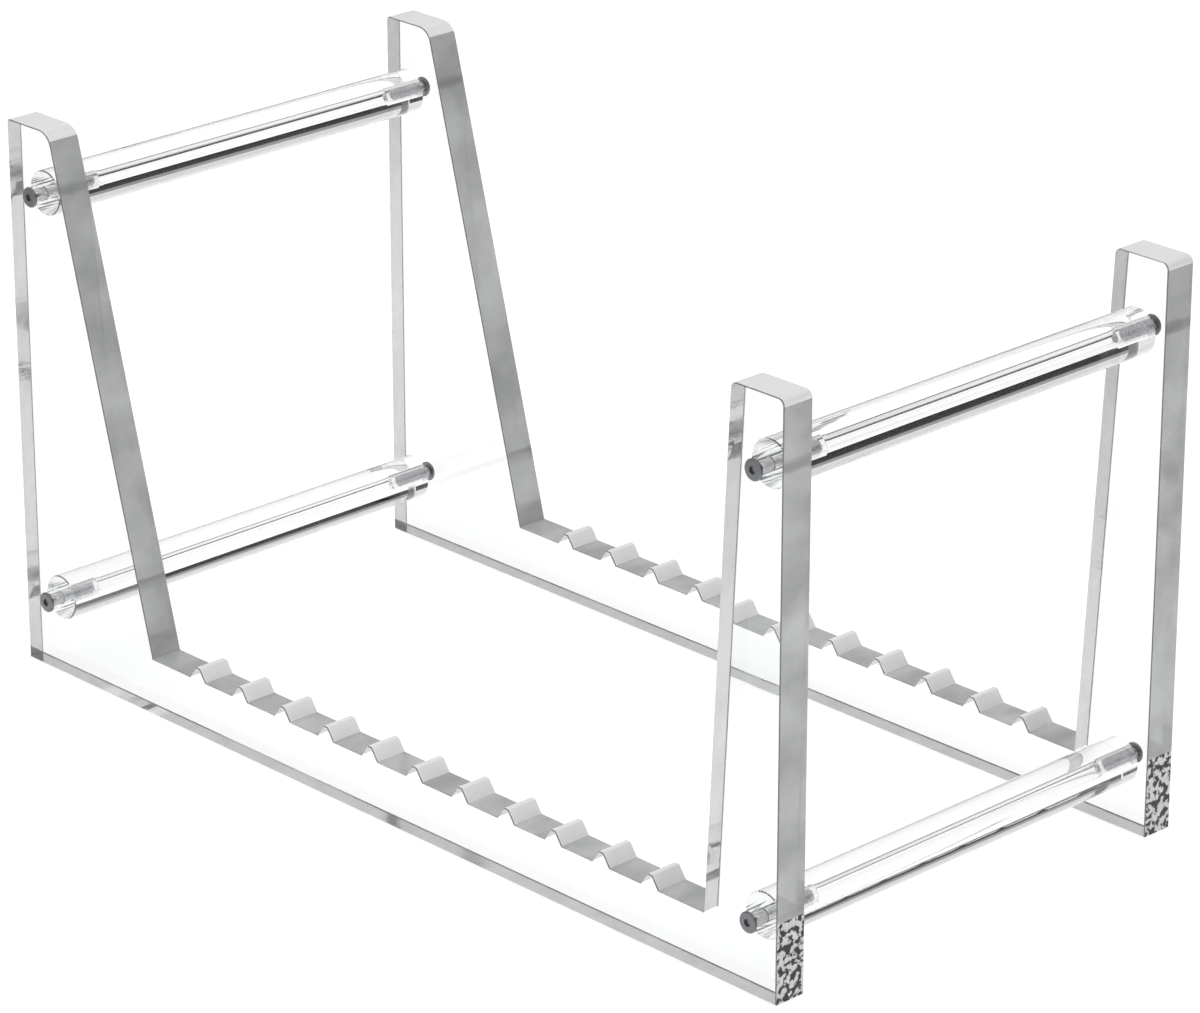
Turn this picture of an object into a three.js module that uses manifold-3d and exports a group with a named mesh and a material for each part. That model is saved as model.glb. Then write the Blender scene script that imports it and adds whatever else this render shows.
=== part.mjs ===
// Slotted rack of clear acrylic: two upright U-shaped side panels with a toothed floor,
// tied together by four round rods, each held by a screw at both ends.
// Millimetres, +Z up. The origin is at the middle of the base: X runs along the panels,
// Y runs from the front panel to the back one.

import * as THREE from 'three';
import { mergeVertices } from 'three/addons/utils/BufferGeometryUtils.js';
import Module from 'manifold-3d';

// ---- Driving dimensions ----------------------------------------------------------------

const LENGTH = 300; // along X, end to end of a panel
const HEIGHT = 162; // to the tops of the arms
const DEPTH = 150; // over the outer faces of both panels
const SHEET = 10; // thickness of the acrylic sheet

// The U of a panel: a left arm with a sloping inner edge, a floor and a nearly upright right arm.
const FLOOR_Z = 17;
const LEFT_ARM_TOP = 18; // width at the top
const LEFT_ARM_FOOT = 56.2; // width where it meets the floor
const RIGHT_ARM_TOP = 18;
const RIGHT_ARM_FOOT = 25.7;
const LEFT_ARM_INNER_RADIUS = 5;
const LEFT_ARM_OUTER_RADIUS = 1;
const RIGHT_ARM_RADIUS = 2;

// Teeth on the floor, which part it into slots.
const TEETH = 11;
const TOOTH_PITCH = 17.9;
const TOOTH_BASE = 6.5;
const TOOTH_TOP = 1.6;
const TOOTH_HEIGHT = 3.5;
const TOOTH_RADIUS = 0.6;

// Rods between the inner faces of the panels.
const ROD_DIAMETER = 13;
const ROD_INSET = 9.5; // of a rod's axis from the end of a panel
const ROD_DROP = 20.5; // of an upper rod's axis below the top
const ROD_RISE = 20; // of a lower rod's axis above the base
const ROD_CHAMFER = 0.4;

// Thin-head screws, M3 by 20, with a 2 mm hexagon socket.
const THREAD_DIAMETER = 3;
const SCREW_LENGTH = 20;
const SCREW_TIP_CHAMFER = 0.4;
const HEAD_DIAMETER = 5.8;
const HEAD_HEIGHT = 0.8;
const HEAD_RIM = 0.45; // height of the straight rim under the rounded part
const HEAD_FLAT = 4.8; // diameter of the flat round the socket
const SOCKET_ACROSS_FLATS = 2;
const SOCKET_DEPTH = 0.6;

// Clearances.
const CLEARANCE_HOLE = 3.4; // through a panel
const ROD_HOLE = 3.2; // in a rod's end, for the screw
const ROD_HOLE_DEPTH = 13;
const ROD_BORE = 2.5; // all through a rod, between those holes
const SEAT_GAP = 0.1; // between faces that rest on each other

const ARC_SEGMENTS = 12;
const HOLE_SEGMENTS = 24;
const ROD_SEGMENTS = 48;
const SCREW_SEGMENTS = 24;
const DOME_STEPS = 3;

// ---- Materials -------------------------------------------------------------------------

const clearAcrylic = new THREE.MeshStandardMaterial({
  color: 0xe9eff1,
  roughness: 0.05,
  metalness: 0,
  transparent: true,
  opacity: 0.4,
});

const screwSteel = new THREE.MeshStandardMaterial({
  color: 0x6d6f73,
  roughness: 0.3,
  metalness: 1,
});

// ---- Where the rods and screws go -------------------------------------------------------

const endX = LENGTH / 2 - ROD_INSET;
const rodPlaces = [
  { name: 'upper_left', x: -endX, z: HEIGHT - ROD_DROP },
  { name: 'lower_left', x: -endX, z: ROD_RISE },
  { name: 'upper_right', x: endX, z: HEIGHT - ROD_DROP },
  { name: 'lower_right', x: endX, z: ROD_RISE },
];

// ---- Shapes ----------------------------------------------------------------------------

// A closed outline through corners [x, y, radius], each rounded by an arc of its radius.
function roundedShape(corners) {
  const shape = new THREE.Shape();
  corners.forEach(([x, y, radius], i) => {
    const corner = new THREE.Vector2(x, y);
    const before = new THREE.Vector2(...corners.at(i - 1).slice(0, 2));
    const after = new THREE.Vector2(...corners[(i + 1) % corners.length].slice(0, 2));
    const back = before.sub(corner).normalize();
    const ahead = after.sub(corner).normalize();
    const half = back.angleTo(ahead) / 2;
    const start = corner.clone().addScaledVector(back, radius / Math.tan(half));
    if (i === 0) shape.moveTo(start.x, start.y);
    else shape.lineTo(start.x, start.y);
    if (radius === 0) return;
    const end = corner.clone().addScaledVector(ahead, radius / Math.tan(half));
    const middle = back.clone().add(ahead).normalize();
    const centre = corner.clone().addScaledVector(middle, radius / Math.sin(half));
    const clockwise = back.cross(ahead) > 0;
    const from = start.sub(centre).angle();
    const to = end.sub(centre).angle();
    shape.absarc(centre.x, centre.y, radius, from, to, clockwise);
  });
  shape.closePath();
  return shape;
}

// The corners of the teeth, from the right-hand one to the left-hand one.
function toothCorners() {
  const middle = (LEFT_ARM_FOOT - RIGHT_ARM_FOOT) / 2;
  const tip = FLOOR_Z + TOOTH_HEIGHT;
  const corners = [];
  for (let i = TEETH - 1; i >= 0; i--) {
    const x = middle + (i - (TEETH - 1) / 2) * TOOTH_PITCH;
    corners.push([x + TOOTH_BASE / 2, FLOOR_Z, 0]);
    corners.push([x + TOOTH_TOP / 2, tip, TOOTH_RADIUS]);
    corners.push([x - TOOTH_TOP / 2, tip, TOOTH_RADIUS]);
    corners.push([x - TOOTH_BASE / 2, FLOOR_Z, 0]);
  }
  return corners;
}

// One side panel, its outline drawn anticlockwise in X and Z and its thickness along Y,
// with a clearance hole for each screw.
function panelGeometry() {
  const end = LENGTH / 2;
  const outline = roundedShape([
    [-end, 0, 0],
    [end, 0, 0],
    [end, HEIGHT, RIGHT_ARM_RADIUS],
    [end - RIGHT_ARM_TOP, HEIGHT, RIGHT_ARM_RADIUS],
    [end - RIGHT_ARM_FOOT, FLOOR_Z, 0],
    ...toothCorners(),
    [-end + LEFT_ARM_FOOT, FLOOR_Z, 0],
    [-end + LEFT_ARM_TOP, HEIGHT, LEFT_ARM_INNER_RADIUS],
    [-end, HEIGHT, LEFT_ARM_OUTER_RADIUS],
  ]);
  const sheet = { depth: SHEET, bevelEnabled: false, curveSegments: ARC_SEGMENTS };
  for (const { x, z } of rodPlaces) {
    const points = [];
    for (let i = 0; i < HOLE_SEGMENTS; i++) {
      const angle = (-2 * Math.PI * i) / HOLE_SEGMENTS;
      const radius = CLEARANCE_HOLE / 2;
      points.push(new THREE.Vector2(x + radius * Math.cos(angle), z + radius * Math.sin(angle)));
    }
    outline.holes.push(new THREE.Path(points));
  }
  return new THREE.ExtrudeGeometry(outline, sheet);
}

// A round body about Y, from profile points [radius, y] that start and end on the axis or
// close on themselves.
function turned(profile, segments) {
  const points = profile.map(([radius, y]) => new THREE.Vector2(radius, y));
  return new THREE.LatheGeometry(points, segments);
}

// A rod about Y, bored through, with a wider hole in each end for its screw.
function rodGeometry() {
  const end = DEPTH / 2 - SHEET - SEAT_GAP;
  const radius = ROD_DIAMETER / 2;
  const hole = ROD_HOLE / 2;
  const frontHalf = [
    [ROD_BORE / 2, -end + ROD_HOLE_DEPTH],
    [hole, -end + ROD_HOLE_DEPTH],
    [hole, -end],
    [radius - ROD_CHAMFER, -end],
    [radius, -end + ROD_CHAMFER],
  ];
  const backHalf = frontHalf.map(([r, y]) => [r, -y]).reverse();
  return turned([...frontHalf, ...backHalf, frontHalf[0]], ROD_SEGMENTS);
}

// A manifold solid from a closed geometry.
function solid(wasm, geometry) {
  const bare = geometry.clone();
  bare.deleteAttribute('normal');
  bare.deleteAttribute('uv');
  const merged = mergeVertices(bare);
  const vertProperties = new Float32Array(merged.attributes.position.array);
  const triVerts = new Uint32Array(merged.index.array);
  return new wasm.Manifold(new wasm.Mesh({ numProp: 3, vertProperties, triVerts }));
}

// A geometry from a manifold solid.
function geometryOf(body) {
  const mesh = body.getMesh();
  const geometry = new THREE.BufferGeometry();
  geometry.setAttribute('position', new THREE.BufferAttribute(mesh.vertProperties, 3));
  geometry.setIndex(new THREE.BufferAttribute(mesh.triVerts, 1));
  geometry.computeVertexNormals();
  return geometry;
}

// The rounded part of a screw's head, from its flat out and up to its rim.
function domeProfile() {
  const points = [];
  for (let i = 0; i <= DOME_STEPS; i++) {
    const angle = ((Math.PI / 2) * i) / DOME_STEPS;
    const radius = HEAD_FLAT + (HEAD_DIAMETER - HEAD_FLAT) * Math.sin(angle);
    points.push([radius / 2, -HEAD_RIM - (HEAD_HEIGHT - HEAD_RIM) * Math.cos(angle)]);
  }
  return points;
}

// A screw about Y: its head's seat is at y = 0, its head below that and its shank above.
function screwGeometry(wasm) {
  const shank = THREAD_DIAMETER / 2;
  const blank = turned(
    [
      [0, -HEAD_HEIGHT],
      ...domeProfile(),
      [HEAD_DIAMETER / 2, 0],
      [shank, 0],
      [shank, SCREW_LENGTH - SCREW_TIP_CHAMFER],
      [shank - SCREW_TIP_CHAMFER, SCREW_LENGTH],
      [0, SCREW_LENGTH],
    ],
    SCREW_SEGMENTS,
  );
  const socketRadius = SOCKET_ACROSS_FLATS / Math.sqrt(3);
  const socket = new THREE.CylinderGeometry(socketRadius, socketRadius, 2 * SOCKET_DEPTH, 6);
  socket.translate(0, -HEAD_HEIGHT, 0);
  return geometryOf(solid(wasm, blank).subtract(solid(wasm, socket)));
}

// ---- The assembly ----------------------------------------------------------------------

const wasm = await Module();
wasm.setup();

const rack = new THREE.Group();

function add(parent, name, geometry, material) {
  const mesh = new THREE.Mesh(geometry, material);
  mesh.name = name;
  parent.add(mesh);
  return mesh;
}

// Standing a panel up turns its thickness to run towards -Y.
const panel = panelGeometry();
for (const [name, innerY] of [['front_panel', -DEPTH / 2 + SHEET], ['back_panel', DEPTH / 2]]) {
  const mesh = add(rack, name, panel, clearAcrylic);
  mesh.rotation.x = Math.PI / 2;
  mesh.position.y = innerY;
}

const rod = rodGeometry();
const screw = screwGeometry(wasm);
const seatY = DEPTH / 2 + SEAT_GAP;
for (const { name, x, z } of rodPlaces) {
  const place = new THREE.Group();
  place.position.set(x, 0, z);
  rack.add(place);
  add(place, `rod_${name}`, rod, clearAcrylic);
  add(place, `screw_front_${name}`, screw, screwSteel).position.y = -seatY;
  const backScrew = add(place, `screw_back_${name}`, screw, screwSteel);
  backScrew.position.y = seatY;
  backScrew.rotation.z = Math.PI;
}

export default rack;
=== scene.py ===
# %% [markdown]
# # A clear acrylic slotted rack
#
# The real rack is cut and turned from stock: two U-shaped panels laser cut from 10 mm clear sheet,
# four bored 13 mm clear rods tapped at both ends, and eight small steel screws. Clear plastic has
# no colour of its own to paint. What the eye reads is its edges, so this lesson spends its effort
# on them: fine arrises that draw a line, tapped holes that the rods magnify, and a studio with
# bright and dark parts for the acrylic to bend.
#
# The CAD model comes first, as a fixed frame, and every piece below is built in its place.

# %% Load the frame
import math

import bmesh
import bpy
from mathutils import Matrix, Vector


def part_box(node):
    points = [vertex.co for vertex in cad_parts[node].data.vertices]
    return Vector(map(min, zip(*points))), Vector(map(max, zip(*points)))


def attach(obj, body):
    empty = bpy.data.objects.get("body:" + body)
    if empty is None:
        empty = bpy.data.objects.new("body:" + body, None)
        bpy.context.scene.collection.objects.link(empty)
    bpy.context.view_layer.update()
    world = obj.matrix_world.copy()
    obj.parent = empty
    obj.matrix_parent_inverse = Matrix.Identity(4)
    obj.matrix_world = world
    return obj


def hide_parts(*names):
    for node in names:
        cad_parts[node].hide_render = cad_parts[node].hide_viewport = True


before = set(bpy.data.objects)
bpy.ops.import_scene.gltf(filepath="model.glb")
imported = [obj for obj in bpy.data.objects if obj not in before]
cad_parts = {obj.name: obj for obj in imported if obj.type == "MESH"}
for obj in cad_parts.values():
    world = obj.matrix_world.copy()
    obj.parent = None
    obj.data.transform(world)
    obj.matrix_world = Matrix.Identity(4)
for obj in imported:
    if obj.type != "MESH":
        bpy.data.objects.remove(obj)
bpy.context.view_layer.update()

MM = 0.001

# %% [markdown]
# ## The camera
#
# A long lens from a step away keeps the rack's parallel edges nearly parallel, which shows small
# goods at their true proportions. The camera stands round to the front right and looks down a
# little. It is placed by its bearing and distance from a point that it looks at.

# %% Camera
AZIMUTH = math.radians(46.25)
ELEVATION = math.radians(22.13)
DISTANCE = 1534.7 * MM
LOOKS_AT = Vector((-48.6, 54.4, 39.9)) * MM
LENS = 160.3

camera = bpy.data.objects.new("camera", bpy.data.cameras.new("camera"))
bpy.context.scene.collection.objects.link(camera)
back = Vector((math.sin(AZIMUTH) * math.cos(ELEVATION),
               -math.cos(AZIMUTH) * math.cos(ELEVATION),
               math.sin(ELEVATION)))
camera.location = LOOKS_AT + DISTANCE * back
camera.rotation_mode = "QUATERNION"
camera.rotation_quaternion = (-back).to_track_quat("-Z", "Y")
camera.data.lens = LENS
camera.data.sensor_width = 36
camera.data.clip_start = 0.05
camera.data.clip_end = 100
bpy.context.scene.camera = camera
print("camera at", [round(v, 3) for v in camera.location])

# %% [markdown]
# ## Colours and nodes
#
# A few small helpers serve every material: one turns an sRGB hex value into the linear colour that
# the shader wants, one adds a node with its settings and links, and two make noise and bumps whose
# sizes are in millimetres.

# %% Material helpers
def colour(hex_value):
    """Linear RGBA from an sRGB hex value such as 0xE8ECEE."""
    channels = [(hex_value >> shift & 255) / 255 for shift in (16, 8, 0)]
    linear = [c / 12.92 if c <= 0.04045 else ((c + 0.055) / 1.055) ** 2.4 for c in channels]
    return (*linear, 1.0)


def node(tree, kind, inputs=None, **settings):
    """Adds a node. inputs gives each socket a value, or another node's output to link to."""
    made = tree.nodes.new(kind)
    for name, value in settings.items():
        setattr(made, name, value)
    for name, value in (inputs or {}).items():
        if isinstance(value, bpy.types.NodeSocket):
            tree.links.new(value, made.inputs[name])
        else:
            made.inputs[name].default_value = value
    return made


def new_material(name):
    """An empty material and its tree, with an output to link to."""
    material = bpy.data.materials.new(name)
    material.use_nodes = True
    tree = material.node_tree
    tree.nodes.clear()
    return material, tree


def stretched_noise(tree, spacing, stretch=(1, 1, 1), detail=2.0):
    """Noise of the given spacing in mm, drawn out along an axis whose stretch is under 1."""
    place = node(tree, "ShaderNodeTexCoord")
    drawn = node(tree, "ShaderNodeVectorMath", {0: place.outputs["Object"], 1: stretch},
                 operation="MULTIPLY")
    return node(tree, "ShaderNodeTexNoise", {"Vector": drawn.outputs["Vector"],
                                             "Scale": 1 / (spacing * MM), "Detail": detail})


def bump(tree, noise, height):
    """A surface that rises by the height in mm with the noise."""
    return node(tree, "ShaderNodeBump", {"Height": noise.outputs["Fac"], "Distance": height * MM})


# %% [markdown]
# ## Clear acrylic
#
# Cast sheet comes off polished glass: it is flawless but for a slow waviness and the haze that a
# cloth leaves. Rods are pushed through a die, which draws faint lines along them. A cut edge is
# another matter. The cutter leaves fine stripes straight across the thickness, and the edge
# scatters half of the light that should pass, so it shows as a soft grey band. The tops of the arms
# and the teeth are sanded afterwards, which turns them whiter, and the arrises are given a darker
# grey, a painted shade that draws the dark line that a clear edge shows.

# %% Clear acrylic
ACRYLIC_IOR = 1.49
WATER_CLEAR = 0xFFFFFF
SHEET_CLEAR = 0xF8F9F9  # a panel dims what is behind it a little, so its face can just be seen


def clear_acrylic(name, tint, clarity, spacing, height, stretch=(1, 1, 1), roughness=0.0):
    """
    Acrylic that passes light in proportion to its clarity, on a surface that rises and falls by
    height over spacing, both in mm. Returns the material, its tree and its shader.
    """
    material, tree = new_material(name)
    surface = bump(tree, stretched_noise(tree, spacing, stretch), height)
    shader = node(tree, "ShaderNodeBsdfPrincipled", {
        "Base Color": colour(tint),
        "Roughness": roughness,
        "IOR": ACRYLIC_IOR,
        "Transmission Weight": clarity,
        "Normal": surface.outputs["Normal"],
    })
    node(tree, "ShaderNodeOutputMaterial", {"Surface": shader.outputs["BSDF"]})
    print(name, "clarity:", clarity)
    return material, tree, shader


# %% Cast sheet: the eye gets a clear face with a cloth's haze on it, in wide, faint swirls
WAVE_SPACING = 35
WAVE_HEIGHT = 0.02
SWIRL_SPACING = 9
HAZE_ROUGHNESS = 0.03

acrylic_sheet, tree, shader = clear_acrylic("cast_acrylic_sheet", SHEET_CLEAR, 1.0,
                                            WAVE_SPACING, WAVE_HEIGHT)
swirls = stretched_noise(tree, SWIRL_SPACING, stretch=(1, 1, 0.3), detail=5.0)
haze = node(tree, "ShaderNodeMapRange", {
    "Value": swirls.outputs["Fac"], "From Min": 0.45, "From Max": 0.7,
    "To Min": 0.0, "To Max": HAZE_ROUGHNESS})
tree.links.new(haze.outputs["Result"], shader.inputs["Roughness"])

# %% Extruded rod: the eye gets the pull of the die, lines that run the whole length of a rod
DIE_LINE_SPACING = 0.9
DIE_LINE_HEIGHT = 0.002

acrylic_rod, tree, shader = clear_acrylic("extruded_acrylic_rod", WATER_CLEAR, 1.0,
                                          DIE_LINE_SPACING, DIE_LINE_HEIGHT, stretch=(1, 0.004, 1))

# %% [markdown]
# At the foot of each right-hand end the soft band gives way to a patch of black and white grains,
# a painted reflection: the thread of the lower screw as if mirrored over and over between the walls.
# The grains are painted in the tint of the cut edge, in place of a reflection.

# %% Cut edges
EDGE_CLARITY = 0.5
EDGE_TONES = (0xACADAE, 0xD6D7D8)  # where the cutter dwelt, and where it ran on
TONE_SPACING = 14
STRIPE_SPACING = 0.9
STRIPE_HEIGHT = 0.012
# The black and white grains at the foot of each right-hand end are a painted reflection of the screw
# thread, not a mark in the acrylic.
PAINTED_REFLECTION_START = 149.5  # mm along X, just short of the right-hand end
PAINTED_REFLECTION_HEIGHT = 22.5
PAINTED_REFLECTION_SPACING = 2.0
PAINTED_REFLECTION_TONES = (0x020202, 0xFFFFFF)


def two_tones(tree, noise, tones, low, high):
    """A ramp from one tone, where the noise is low, to the other."""
    ramp = node(tree, "ShaderNodeValToRGB", {"Fac": noise.outputs["Fac"]})
    for stop, position, tone in zip(ramp.color_ramp.elements, (low, high), tones):
        stop.position, stop.color = position, colour(tone)
    return ramp


def cut_edge_material():
    """A band of grey with slow tones and fine stripes, and a painted reflection of the screw thread as
    grains at the foot of the right end.
    """
    material, tree, shader = clear_acrylic("laser_cut_acrylic_edge", EDGE_TONES[0], EDGE_CLARITY,
                                           STRIPE_SPACING, STRIPE_HEIGHT, stretch=(1, 0.06, 1))
    slow = stretched_noise(tree, TONE_SPACING, stretch=(1, 0.6, 0.7), detail=6.0)
    tones = two_tones(tree, slow, EDGE_TONES, 0.35, 0.65)
    painted_reflection_grains = two_tones(tree, stretched_noise(tree, PAINTED_REFLECTION_SPACING), PAINTED_REFLECTION_TONES, 0.46, 0.53)
    place = node(tree, "ShaderNodeTexCoord")
    axes = node(tree, "ShaderNodeSeparateXYZ", {"Vector": place.outputs["Object"]})
    at_end = node(tree, "ShaderNodeMath", {0: axes.outputs["X"], 1: PAINTED_REFLECTION_START * MM},
                  operation="GREATER_THAN")
    near_base = node(tree, "ShaderNodeMath", {0: axes.outputs["Z"], 1: PAINTED_REFLECTION_HEIGHT * MM},
                     operation="LESS_THAN")
    painted_reflection_at_foot = node(tree, "ShaderNodeMath", {0: at_end.outputs["Value"], 1: near_base.outputs["Value"]},
                   operation="MULTIPLY")
    # The cut edge's tones, with the painted reflection of the thread mixed in at the foot.
    tint = node(tree, "ShaderNodeMix", {"Factor": painted_reflection_at_foot.outputs["Value"]}, data_type="RGBA")
    tree.links.new(tones.outputs["Color"], tint.inputs["A"])
    tree.links.new(painted_reflection_grains.outputs["Color"], tint.inputs["B"])
    tree.links.new(tint.outputs["Result"], shader.inputs["Base Color"])
    return material


cut_edge = cut_edge_material()

# %% Sanded faces: the eye gets a satin surface, brighter and more even than the cut band below
SANDED_CLARITY = 0.2
SAND_SPACING = 0.5
SAND_HEIGHT = 0.01

sanded_acrylic, tree, shader = clear_acrylic("sanded_acrylic", 0xFFFFFF, SANDED_CLARITY,
                                             SAND_SPACING, SAND_HEIGHT, roughness=0.25)

# %% Arris: a darker grey on the fine chamfer, a painted shade that gives the eye a thin dark outline along a face
arris_painted_shade, tree, shader = clear_acrylic("acrylic_arris_painted_shade", 0x8A8B8C, EDGE_CLARITY,
                                            spacing=0.7, height=0.01)

# %% [markdown]
# ## Screw steel
#
# The heads are dark and a little worn, turned to fine rings. The threads are the same steel in a
# lighter grey, a painted highlight, so that inside a clear rod they flash as the rod's wall magnifies
# them.

# %% Screw steel
TURNING_SPACING = 0.35
TURNING_HEIGHT = 0.004
WEAR = 0.12  # how far the roughness strays either way


def screw_steel(name, grey, roughness):
    material, tree = new_material(name)
    turning = stretched_noise(tree, TURNING_SPACING, stretch=(1, 3, 1), detail=3.0)
    worn = node(tree, "ShaderNodeMapRange", {"Value": turning.outputs["Fac"],
                                             "To Min": roughness - WEAR, "To Max": roughness + WEAR})
    shader = node(tree, "ShaderNodeBsdfPrincipled", {
        "Base Color": colour(grey),
        "Metallic": 1.0,
        "Roughness": worn.outputs["Result"],
        "Normal": bump(tree, turning, TURNING_HEIGHT).outputs["Normal"],
    })
    node(tree, "ShaderNodeOutputMaterial", {"Surface": shader.outputs["BSDF"]})
    print(name, "roughness about", roughness)
    return material


head_steel = screw_steel("stainless_screw_head", 0x7C7D80, 0.34)
# The thread is the head's steel in a lighter grey, a painted highlight that makes it flash inside the
# rods.
thread_steel_painted_highlight = screw_steel("steel_thread_painted_highlight", 0xC6C7CA, 0.25)

# %% [markdown]
# ## From a bmesh to a piece
#
# Every piece is drawn in millimetres about the rack's own origin, scaled to metres as it becomes an
# object, and tied to the CAD node that it stands for.

# %% Piece helper
def new_piece(name, bm, materials, cad_node):
    """The bmesh, in millimetres, becomes a shown object that replaces a CAD node."""
    bmesh.ops.scale(bm, vec=Vector((MM, MM, MM)), verts=bm.verts)
    mesh = bpy.data.meshes.new(name)
    bm.to_mesh(mesh)
    bm.free()
    for material in materials:
        mesh.materials.append(material)
    piece = bpy.data.objects.new(name, mesh)
    bpy.context.scene.collection.objects.link(piece)
    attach(piece, "root")
    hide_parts(cad_node)
    print(name, "faces:", len(mesh.polygons))
    return piece


def centre_of(cad_node):
    """The middle of a CAD node's box, in millimetres."""
    low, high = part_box(cad_node)
    return (low + high) / (2 * MM)


# %% [markdown]
# ## The panels
#
# A laser follows a drawn outline, so the outline is lifted from the CAD panel. The edges that only
# one triangle of its flat outer face has make one loop round the U and one round each screw hole.
# The face is filled, given the sheet's thickness, and its rims get a fine chamfer, the arris that a
# scraper leaves. On clear plastic that hair-wide facet draws the edge, and a darker grey painted on it,
# a painted shade, darkens that line.

# %% Panel shape
ARRIS = 0.25  # mm, width of the scraped edge
TOP_BAND = 2.5  # mm, how far down the rounded tops are sanded
FLOOR_Z = 17  # mm, the floor that the teeth stand on
TOOTH_SPACE = 4  # mm above the floor, just over a tooth's height
NEAR = 0.5  # mm
FLAT = 0.01  # mm, how far a flat face may stray
PANEL_MATERIALS = (acrylic_sheet, cut_edge, sanded_acrylic, arris_painted_shade)
SHEET, CUT, SANDED, PAINTED_SHADE_OUTLINE = range(4)


def rim_loops(cad_node, y):
    """The closed outlines, as lists of points in mm, of the CAD node's face in the plane at y."""
    bm = bmesh.new()
    bm.from_mesh(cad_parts[cad_node].data)
    bmesh.ops.scale(bm, vec=Vector((1 / MM, 1 / MM, 1 / MM)), verts=bm.verts)
    bmesh.ops.remove_doubles(bm, verts=bm.verts, dist=0.002)
    flat = [f for f in bm.faces if all(abs(v.co.y - y) < FLAT for v in f.verts)]
    bmesh.ops.delete(bm, geom=list(set(bm.faces) - set(flat)), context="FACES")
    rim = {e for e in bm.edges if e.is_boundary}
    loops = []
    while rim:
        start, here = rim.pop().verts
        points = [start.co.copy()]
        while here is not start:
            points.append(here.co.copy())
            edge = next(e for e in here.link_edges if e in rim)
            rim.remove(edge)
            here = edge.other_vert(here)
        loops.append(points)
    bm.free()
    return loops


def smooth_by_angle(bm, degrees):
    """Smooth faces, with the edges sharp where the surface turns by more than this."""
    for face in bm.faces:
        face.smooth = True
    for edge in bm.edges:
        edge.smooth = edge.is_manifold and edge.calc_face_angle(0) < math.radians(degrees)


def panel_finish(face, top):
    """Which of the panel's materials a face gets, from its height and the way that it faces."""
    heights = [v.co.z for v in face.verts]
    on_top = min(heights) > top - TOP_BAND
    on_tooth = min(heights) > FLOOR_Z - NEAR and NEAR < max(heights) - FLOOR_Z < TOOTH_SPACE
    on_arm = max(heights) > FLOOR_Z + TOOTH_SPACE
    if abs(face.normal.y) > 0.9:
        return SHEET
    # The chamfer faces on arms and teeth get a darker grey, a painted shade that outlines the edge.
    if abs(face.normal.y) > 0.1 and (on_arm or on_tooth):
        return PAINTED_SHADE_OUTLINE
    return SANDED if on_top or on_tooth else CUT


def panel_mesh(cad_node):
    """The U in its sheet's thickness, with its arrises and its finishes."""
    low, high = (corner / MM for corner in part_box(cad_node))
    bm = bmesh.new()
    rim = []
    for points in rim_loops(cad_node, low.y):
        verts = [bm.verts.new((p.x, low.y + ARRIS, p.z)) for p in points]
        rim += [bm.edges.new((a, b)) for a, b in zip(verts, verts[1:] + verts[:1])]
    cap = bmesh.ops.triangle_fill(bm, use_beauty=True, edges=rim)
    faces = [g for g in cap["geom"] if isinstance(g, bmesh.types.BMFace)]
    walls = bmesh.ops.extrude_face_region(bm, geom=faces, use_keep_orig=True)
    moved = [g for g in walls["geom"] if isinstance(g, bmesh.types.BMVert)]
    bmesh.ops.translate(bm, verts=moved, vec=(0, high.y - low.y - 2 * ARRIS, 0))
    bmesh.ops.recalc_face_normals(bm, faces=bm.faces)
    for y in (low.y + ARRIS, high.y - ARRIS):
        sheet_face = [f for f in bm.faces if all(abs(v.co.y - y) < FLAT for v in f.verts)]
        bmesh.ops.inset_region(bm, faces=sheet_face, thickness=ARRIS, depth=ARRIS,
                               use_boundary=True, use_even_offset=True)
    for face in bm.faces:
        face.material_index = panel_finish(face, high.z)
    smooth_by_angle(bm, 30)
    return bm


for name in ("front_panel", "back_panel"):
    new_piece(name + "_sheet", panel_mesh(name), PANEL_MATERIALS, name)


# %% [markdown]
# ## The rods
#
# The rod stock is a thick-walled tube with a fine bore, which the rod's round wall magnifies to a
# pair of dark lines. Its profile, bore and all, is drawn as one closed line and spun about the
# axis. The thread tapped into each end is drawn as rings, half a millimetre apart.

# %% Rod shape
ROD_STEPS = 128
THREAD_PITCH = 0.5  # mm, as are the lengths below
THREAD_LENGTH = 11
TAP_MINOR = 2.6 / 2
TAP_MAJOR = 3.1 / 2
TAP_DEPTH = 13
BORE = 2.5 / 2
MOUTH = 0.3
ROD_CHAMFER = 0.3
WELD = 0.0005  # closer points than this are one


def spun_ring(profile, steps):
    """A closed round body about Y, from a closed profile of (radius, y) points in mm."""
    bm = bmesh.new()
    verts = [bm.verts.new((radius, y, 0)) for radius, y in profile]
    edges = [bm.edges.new(pair) for pair in zip(verts, verts[1:] + verts[:1])]
    bmesh.ops.spin(bm, geom=verts + edges, cent=(0, 0, 0), axis=(0, 1, 0),
                   angle=2 * math.pi, steps=steps, use_merge=True)
    bmesh.ops.remove_doubles(bm, verts=bm.verts, dist=WELD)
    bmesh.ops.recalc_face_normals(bm, faces=bm.faces)
    return bm


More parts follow.
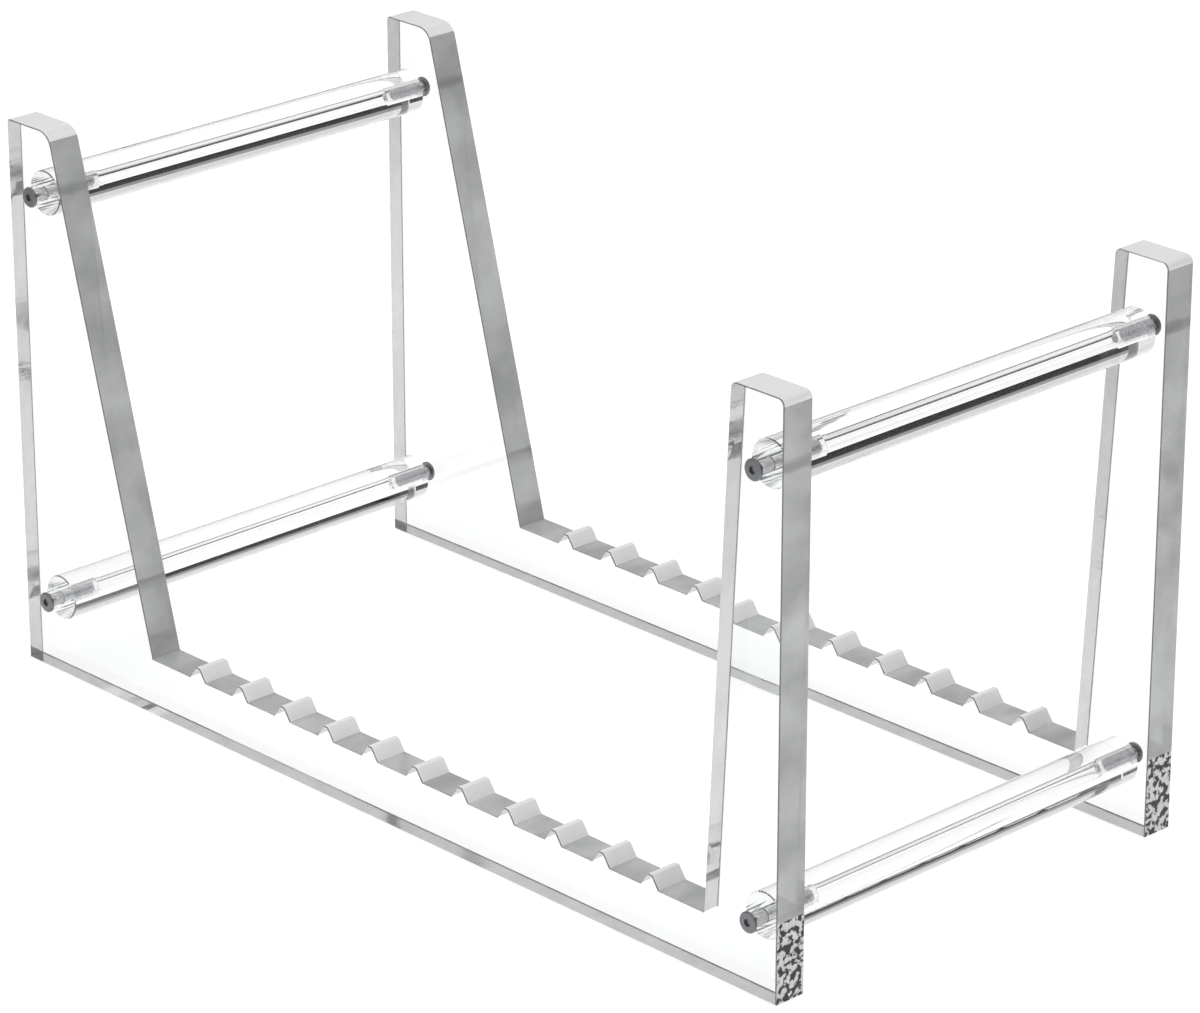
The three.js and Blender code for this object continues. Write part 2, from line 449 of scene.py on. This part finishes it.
def rod_mesh(low, high):
    """A rod about Y and centred on the origin, as large as the box between low and high."""
    radius = (high.x - low.x) / 2
    half = (high.y - low.y) / 2
    end = [(BORE, half - TAP_DEPTH), (TAP_MINOR, half - TAP_DEPTH + MOUTH)]
    crests = int(THREAD_LENGTH / THREAD_PITCH)
    for i in range(crests, 0, -1):
        y = half - MOUTH - i * THREAD_PITCH
        end += [(TAP_MINOR, y), (TAP_MAJOR, y + THREAD_PITCH / 2)]
    end += [(TAP_MINOR, half - MOUTH), (TAP_MINOR + MOUTH, half)]
    end += [(radius - ROD_CHAMFER, half), (radius, half - ROD_CHAMFER)]
    other_end = [(r, -y) for r, y in reversed(end)]
    bm = spun_ring(end + other_end, ROD_STEPS)
    smooth_by_angle(bm, 30)
    return bm


PLACES = ("upper_left", "lower_left", "upper_right", "lower_right")
rod = rod_mesh(*(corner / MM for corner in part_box("rod_upper_left")))
for place in PLACES:
    name = "rod_" + place
    copy = rod.copy()
    bmesh.ops.translate(copy, verts=copy.verts, vec=centre_of(name))
    new_piece(name + "_clear", copy, (acrylic_rod,), name)

# %% [markdown]
# ## The screws
#
# Each thin-head screw is a turned blank with a hexagon pressed into its head, and a thread that
# is one small triangle swept up a helix: a spin with a step along the axis.

# %% Screw shape
SCREW_STEPS = 48
HEAD_RADIUS = 5.8 / 2  # mm, as are the lengths below
HEAD_HEIGHT = 0.8
HEAD_RIM = 0.4
HEAD_FLAT = 2.4
EDGE = 0.08
SOCKET_RADIUS = 2 / math.sqrt(3)
SOCKET_DEPTH = 0.6
SHANK_LENGTH = 20
CORE_RADIUS = 2.42 / 2
CREST_RADIUS = 2.95 / 2
TIP_LENGTH = 0.5
TIP_CHAMFER = 0.4
DOME_STEPS = 8
HEAD_STEEL, THREAD_STEEL_HIGHLIGHT = range(2)


def hexagon(bm, y):
    """Six vertices of the socket's outline and the edges between them."""
    ring = bmesh.ops.create_circle(bm, cap_ends=False, segments=6, radius=SOCKET_RADIUS)["verts"]
    bmesh.ops.rotate(bm, verts=ring, cent=(0, 0, 0), matrix=Matrix.Rotation(math.pi / 2, 3, "X"))
    bmesh.ops.translate(bm, verts=ring, vec=(0, y, 0))
    return ring, list({e for v in ring for e in v.link_edges})


def blank_mesh():
    """The screw's body about Y, its seat at y = 0 and its head below that, open at the socket."""
    bm = bmesh.new()
    profile = [(HEAD_FLAT, -HEAD_HEIGHT)]
    for i in range(1, DOME_STEPS + 1):
        turn = math.pi / 2 * i / DOME_STEPS
        profile.append((HEAD_FLAT + (HEAD_RADIUS - HEAD_FLAT) * math.sin(turn),
                        -HEAD_RIM - (HEAD_HEIGHT - HEAD_RIM) * math.cos(turn)))
    profile += [(HEAD_RADIUS, -EDGE), (HEAD_RADIUS - EDGE, 0), (CORE_RADIUS, 0)]
    profile += [(CORE_RADIUS, SHANK_LENGTH - TIP_LENGTH), (CORE_RADIUS - TIP_CHAMFER, SHANK_LENGTH)]
    profile += [(0, SHANK_LENGTH)]
    verts = [bm.verts.new((radius, y, 0)) for radius, y in profile]
    edges = [bm.edges.new(pair) for pair in zip(verts, verts[1:])]
    bmesh.ops.spin(bm, geom=verts + edges, cent=(0, 0, 0), axis=(0, 1, 0),
                   angle=2 * math.pi, steps=SCREW_STEPS, use_merge=True)
    bmesh.ops.remove_doubles(bm, verts=bm.verts, dist=WELD)
    top = [e for e in bm.edges if e.is_boundary]
    ring, mouth = hexagon(bm, -HEAD_HEIGHT)
    bmesh.ops.bridge_loops(bm, edges=top + mouth)
    wall = bmesh.ops.extrude_edge_only(bm, edges=mouth)["geom"]
    floor = [g for g in wall if isinstance(g, bmesh.types.BMVert)]
    bmesh.ops.translate(bm, verts=floor, vec=(0, SOCKET_DEPTH, 0))
    bmesh.ops.contextual_create(bm, geom=floor)
    bmesh.ops.recalc_face_normals(bm, faces=bm.faces)
    return bm


# %% Screw thread
THREAD_START = 0.4
RIDGE_HALF_WIDTH = 0.24
RIDGE_FOOT = CORE_RADIUS - 0.06  # a little inside the core, so the two overlap
STEPS_PER_TURN = 24


def add_thread(bm):
    """Sweeps a closed triangular ridge up the shank, partly sunk into its core."""
    turns = int((SHANK_LENGTH - 2 * THREAD_START) / THREAD_PITCH)
    corners = ((RIDGE_FOOT, THREAD_START - RIDGE_HALF_WIDTH, 0),
               (CREST_RADIUS, THREAD_START, 0),
               (RIDGE_FOOT, THREAD_START + RIDGE_HALF_WIDTH, 0))
    face = bm.faces.new([bm.verts.new(corner) for corner in corners])
    face.material_index = THREAD_STEEL_HIGHLIGHT
    step = THREAD_PITCH / STEPS_PER_TURN
    bmesh.ops.spin(bm, geom=[face], cent=(0, 0, 0), axis=(0, 1, 0), dvec=(0, step, 0),
                   angle=2 * math.pi * turns, steps=STEPS_PER_TURN * turns, use_merge=False)


# %% Eight screws
screw = blank_mesh()
for face in screw.faces:
    beyond_seat = face.calc_center_median().y > FLAT
    face.material_index = THREAD_STEEL_HIGHLIGHT if beyond_seat else HEAD_STEEL
add_thread(screw)
bmesh.ops.recalc_face_normals(screw, faces=screw.faces)
smooth_by_angle(screw, 35)

for side, turn in (("front", 0), ("back", math.pi)):
    for place in PLACES:
        name = f"screw_{side}_{place}"
        low, high = (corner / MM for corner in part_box(name))
        seat_y = low.y + HEAD_HEIGHT if side == "front" else high.y - HEAD_HEIGHT
        middle = centre_of(name)
        copy = screw.copy()
        bmesh.ops.rotate(copy, verts=copy.verts, cent=(0, 0, 0), matrix=Matrix.Rotation(turn, 3, "Z"))
        bmesh.ops.translate(copy, verts=copy.verts, vec=(middle.x, seat_y, middle.z))
        new_piece(name + "_steel", copy, (head_steel, thread_steel_painted_highlight), name)

# %% [markdown]
# ## The studio
#
# Clear plastic is shown against light, with dark things placed so that its edges bend them
# into view. Here the rack stands on an opal light table, which gives a white ground without a
# shadow and fades towards its sides, in a pale room that is brightest overhead. Dark flags stand
# beyond the table, out of the camera's sight: the rods and cut edges gather them into dark lines.

# %% Room
HORIZON_TONE = 0xE6E6E6
WALL_TONE = 0xD6D6D6
OVERHEAD_TONE = 0xFFFFFF


def add_world():
    world = bpy.data.worlds.new("pale_room")
    world.use_nodes = True
    tree = world.node_tree
    tree.nodes.clear()
    direction = node(tree, "ShaderNodeTexCoord")
    height = node(tree, "ShaderNodeSeparateXYZ", {"Vector": direction.outputs["Generated"]})
    ramp = node(tree, "ShaderNodeValToRGB", {"Fac": height.outputs["Z"]})
    stops = ramp.color_ramp.elements
    stops[0].position, stops[0].color = 0.1, colour(HORIZON_TONE)
    stops[1].position, stops[1].color = 0.35, colour(WALL_TONE)
    overhead = stops.new(0.7)
    overhead.color = colour(OVERHEAD_TONE)
    light = node(tree, "ShaderNodeBackground", {"Color": ramp.outputs["Color"], "Strength": 1.0})
    node(tree, "ShaderNodeOutputWorld", {"Surface": light.outputs["Background"]})
    bpy.context.scene.world = world
    print(world.name, "is lit from", len(stops), "heights")


add_world()


# %% Light table
TABLE_RADIUS = 880 * MM
TABLE_GAP = 0.4 * MM  # a face that lay in the rack's own base would turn its edges black
TABLE_GLOW = 0.81
SIDE_GLOW = 0.45
FADE_START = 175 * MM
FADE_END = 450 * MM
FADE_FLARE = 0.1  # the bright strip widens by this much of the way across the table


def stage_object(name, bm, material):
    """The bmesh, in metres, becomes a part of the studio."""
    mesh = bpy.data.meshes.new(name)
    bm.to_mesh(mesh)
    bm.free()
    mesh.materials.append(material)
    made = bpy.data.objects.new(name, mesh)
    bpy.context.scene.collection.objects.link(made)
    print(name, "is on the stage")


def add_table():
    """An opal disc that glows, brightest in a strip along the camera's bearing."""
    material, tree = new_material("opal_light_table")
    place = node(tree, "ShaderNodeTexCoord")
    turned = node(tree, "ShaderNodeVectorRotate", {"Vector": place.outputs["Object"],
                                                   "Angle": -AZIMUTH})
    across = node(tree, "ShaderNodeSeparateXYZ", {"Vector": turned.outputs["Vector"]})
    distance = node(tree, "ShaderNodeMath", {0: across.outputs["X"]}, operation="ABSOLUTE")
    spread = node(tree, "ShaderNodeMath", {0: across.outputs["Y"], 1: -FADE_FLARE,
                                           2: distance.outputs["Value"]}, operation="MULTIPLY_ADD")
    glow = node(tree, "ShaderNodeMapRange", {
        "Value": spread.outputs["Value"], "From Min": FADE_START, "From Max": FADE_END,
        "To Min": TABLE_GLOW, "To Max": SIDE_GLOW}, interpolation_type="SMOOTHSTEP")
    shader = node(tree, "ShaderNodeBsdfPrincipled", {
        "Base Color": colour(0xA0A0A0),
        "Roughness": 0.9,
        "Specular IOR Level": 0.0,
        "Emission Color": colour(0xFFFFFF),
        "Emission Strength": glow.outputs["Result"],
    })
    node(tree, "ShaderNodeOutputMaterial", {"Surface": shader.outputs["BSDF"]})
    bm = bmesh.new()
    bmesh.ops.create_circle(bm, cap_ends=True, segments=128, radius=TABLE_RADIUS)
    bmesh.ops.translate(bm, verts=bm.verts, vec=(0, 0, -TABLE_GAP))
    stage_object("light_table", bm, material)


add_table()


# %% Flags
FLAG_DISTANCE = 2.2


def add_flag(name, azimuth, width, low, high, grey):
    """A card across a bearing in degrees, which glows in its grey: painted light, not a lit matt card.
    width, low and high are in metres.
    """
    material, tree = new_material("glowing_card_" + name)
    # The card glows in its grey: its light is painted in as emission, not cast on it by a lamp.
    shader = node(tree, "ShaderNodeEmission", {"Color": colour(grey)})
    node(tree, "ShaderNodeOutputMaterial", {"Surface": shader.outputs["Emission"]})
    bm = bmesh.new()
    corners = [bm.verts.new((x, -FLAG_DISTANCE, z))
               for x, z in ((-width / 2, low), (width / 2, low), (width / 2, high), (-width / 2, high))]
    bm.faces.new(corners)
    turn = Matrix.Rotation(math.radians(azimuth), 3, "Z")
    bmesh.ops.rotate(bm, verts=bm.verts, cent=(0, 0, 0), matrix=turn)
    stage_object(name, bm, material)


add_flag("back_flag", 224, 2.2, -0.6, 0.32, 0x080808)
add_flag("back_grey_card", 224, 2.2, 0.32, 0.6, 0x909090)
add_flag("right_flag", 134, 1.9, -0.2, 1.9, 0x404040)
add_flag("front_left_flag", 303, 1.0, -0.1, 0.4, 0x101010)

# %% [markdown]
# A ray that enters the top of an arm zigzags down to the table, meeting a wall every few
# millimetres. The path must be long enough to come out again, or the edges turn black.

# %% Light paths and tone
LONGEST_PATH = 48  # bounces

light_paths = bpy.context.scene.cycles
light_paths.max_bounces = LONGEST_PATH
light_paths.transmission_bounces = LONGEST_PATH
light_paths.glossy_bounces = LONGEST_PATH
bpy.context.scene.view_settings.view_transform = "Standard"
print("light paths of up to", LONGEST_PATH, "bounces")
